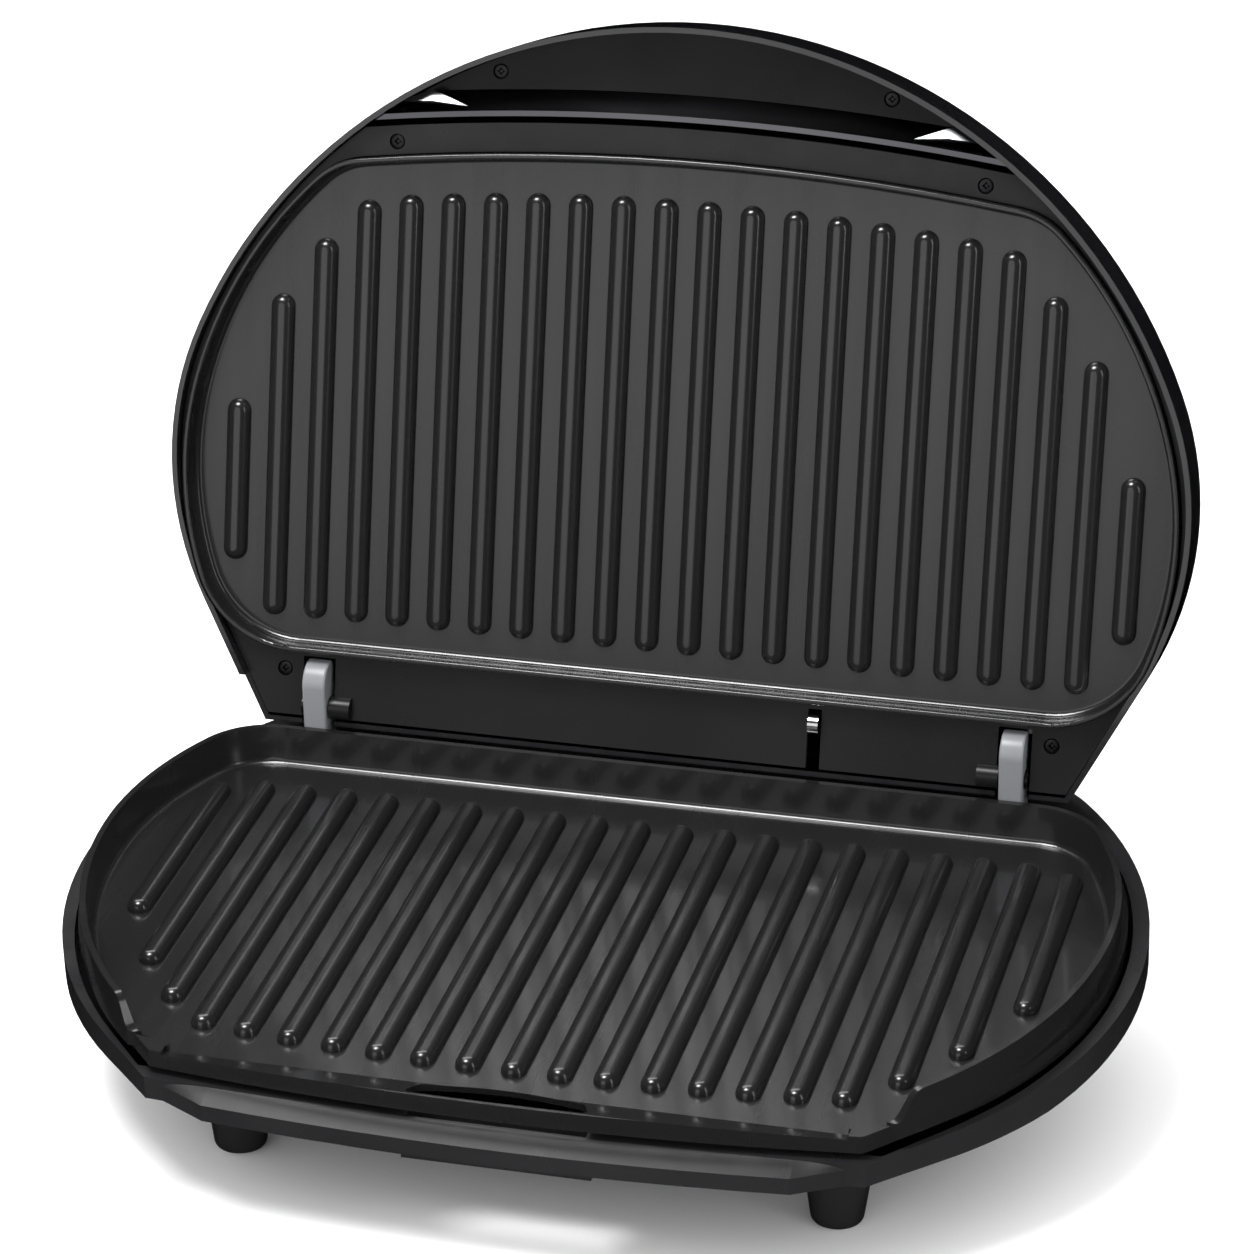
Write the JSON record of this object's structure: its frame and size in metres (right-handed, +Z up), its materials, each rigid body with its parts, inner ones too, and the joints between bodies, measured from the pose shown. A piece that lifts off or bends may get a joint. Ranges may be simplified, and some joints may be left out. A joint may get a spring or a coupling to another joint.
{
  "type": "contact grill",
  "caption": "Large contact grill standing open, with two ridged cooking plates, a rear-hinged domed lid, a drip slot and four feet.",
  "frame": {"origin": "Middle of the space the open grill takes, at the level its feet stand on.", "axes": "+X runs to the right across the grill, +Y to the rear where the hinge is, +Z up."},
  "size_m": [0.4364, 0.3509, 0.396],
  "materials": {
    "housing_black": "satin black moulded plastic",
    "lid_black": "glossy black moulded plastic",
    "plate_coating": "dark non-stick coating on cast aluminium",
    "arm_grey": "grey moulded plastic",
    "bright_trim": "polished trim",
    "foot_black": "matte black",
    "screw_steel": "darkened steel",
    "heater_steel": "dull steel tube",
    "sheet_metal": "bright sheet",
    "clip_metal": "bright bent strip",
    "ceramic_white": "glazed insulator"
  },
  "bodies": {
    "base": {"arm_screws": "screw_steel", "base_housing": "housing_black", "bottom_cover": "housing_black", "cord_gland": "foot_black", "cover_screws": "screw_steel", "foot_screws": "screw_steel", "front_feet": "foot_black", "hinge_arm_left": "arm_grey", "hinge_arm_right": "arm_grey", "lower_clamp_screws": "screw_steel", "lower_heater": "heater_steel", "lower_heater_clamps": "sheet_metal", "lower_plate": "plate_coating", "lower_reflector": "sheet_metal", "plate_screws": "screw_steel", "rear_feet": "foot_black", "terminal_block": "ceramic_white", "thermal_fuse": "sheet_metal", "thermostat": "sheet_metal"},
    "lid": {"frame_screws": "screw_steel", "handle_panel": "housing_black", "handle_screws": "screw_steel", "hinge_pins": "screw_steel", "lead_clip": "clip_metal", "lid_cover": "lid_black", "lid_frame": "housing_black", "reflector_screws": "screw_steel", "trim_strip": "bright_trim", "upper_clamp_screws": "screw_steel", "upper_heater": "heater_steel", "upper_heater_clamps": "sheet_metal", "upper_plate": "plate_coating", "upper_plate_screws": "screw_steel", "upper_reflector": "sheet_metal"}
  },
  "joints": [
    {"name": "lid_hinge", "type": "hinge", "parent": "base", "child": "lid", "pos_m": [0, 0.08595, 0.10367], "axis": [1, 0, 0], "range_deg": [0, 104.88]}
  ]
}
